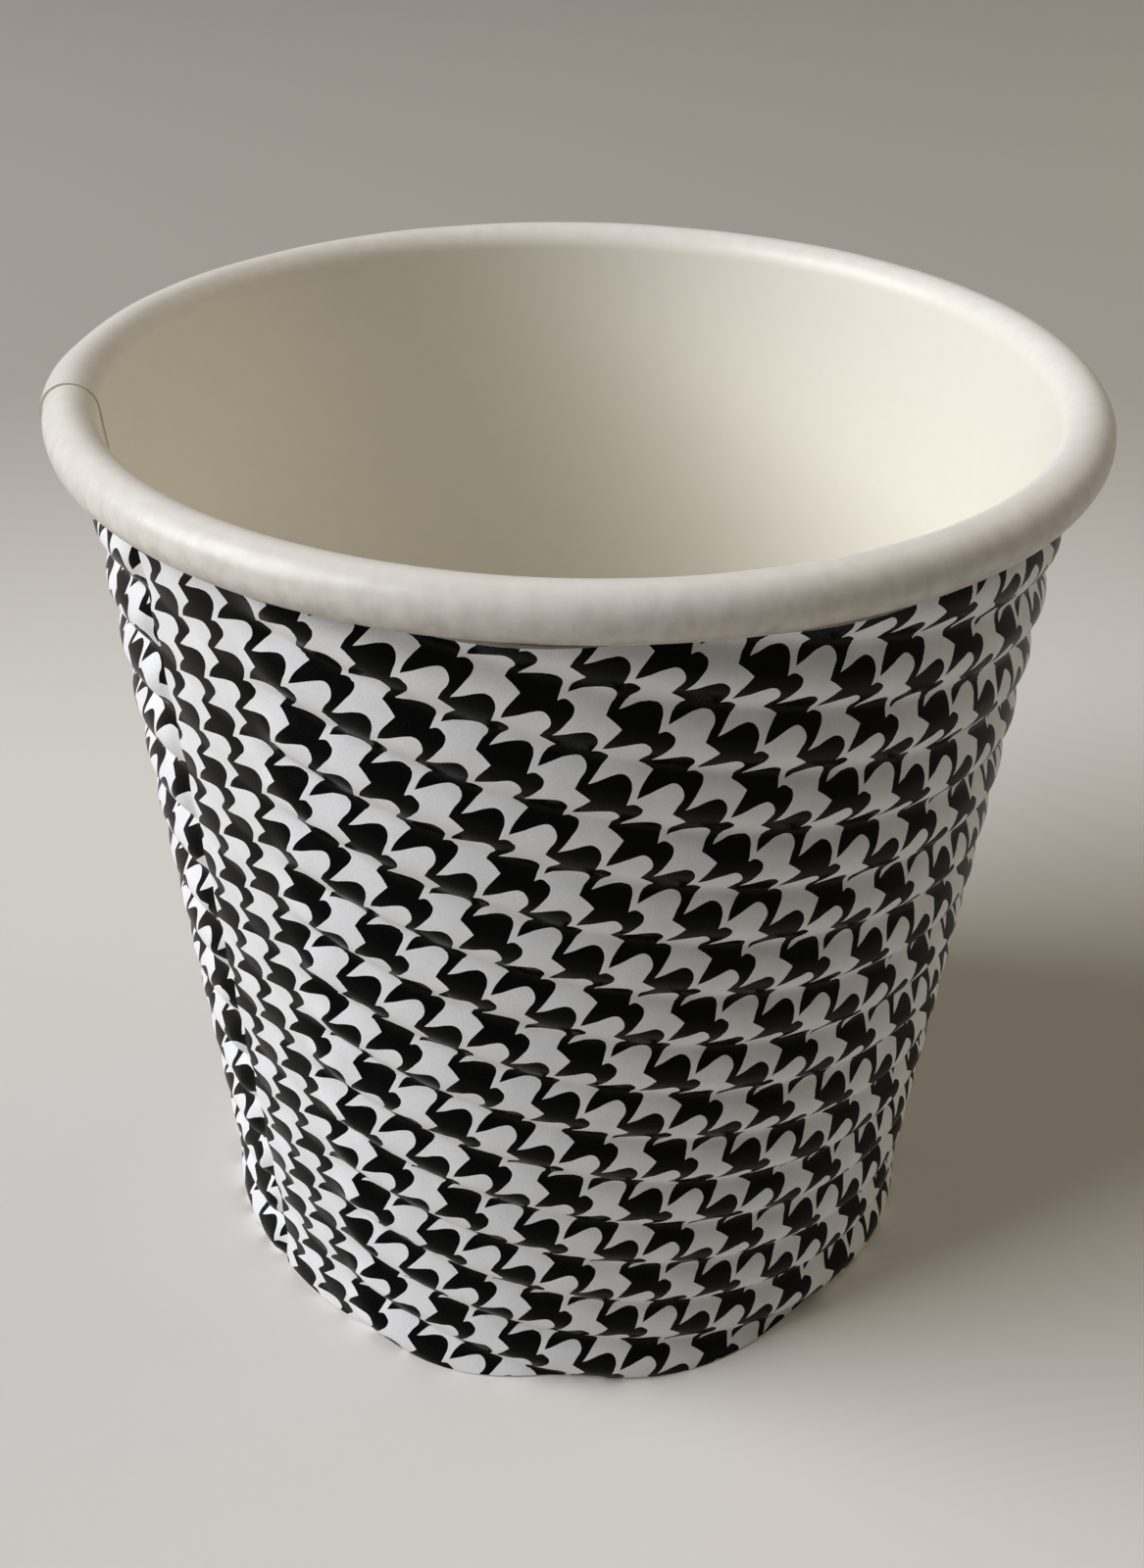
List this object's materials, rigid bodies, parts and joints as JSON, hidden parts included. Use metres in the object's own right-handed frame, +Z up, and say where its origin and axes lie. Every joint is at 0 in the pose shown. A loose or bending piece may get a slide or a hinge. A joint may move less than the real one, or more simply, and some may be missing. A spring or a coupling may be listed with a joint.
{
  "type": "ripple paper espresso cup",
  "caption": "Small conical paper cup with a rolled rim and a recessed bottom disc, wrapped in a slanted ripple sleeve printed with a houndstooth check, for a short hot drink.",
  "frame": {"origin": "centre of the foot on the table, on the cup's axis", "axes": "+Z up along the cup's axis, -Y towards the front that the picture shows, with the wall's side seam near -X and the sleeve's overlap between -X and -Y"},
  "size_m": [0.0622, 0.062, 0.0612],
  "materials": {
    "cup_paper": "coated matt",
    "bottom_paper": "coated matt",
    "printed_paper": "black houndstooth on white, semi-gloss ink"
  },
  "bodies": {
    "root": {"cup_wall": "cup_paper", "bottom_disc": "bottom_paper", "ripple_sleeve": "printed_paper"}
  },
  "joints": []
}
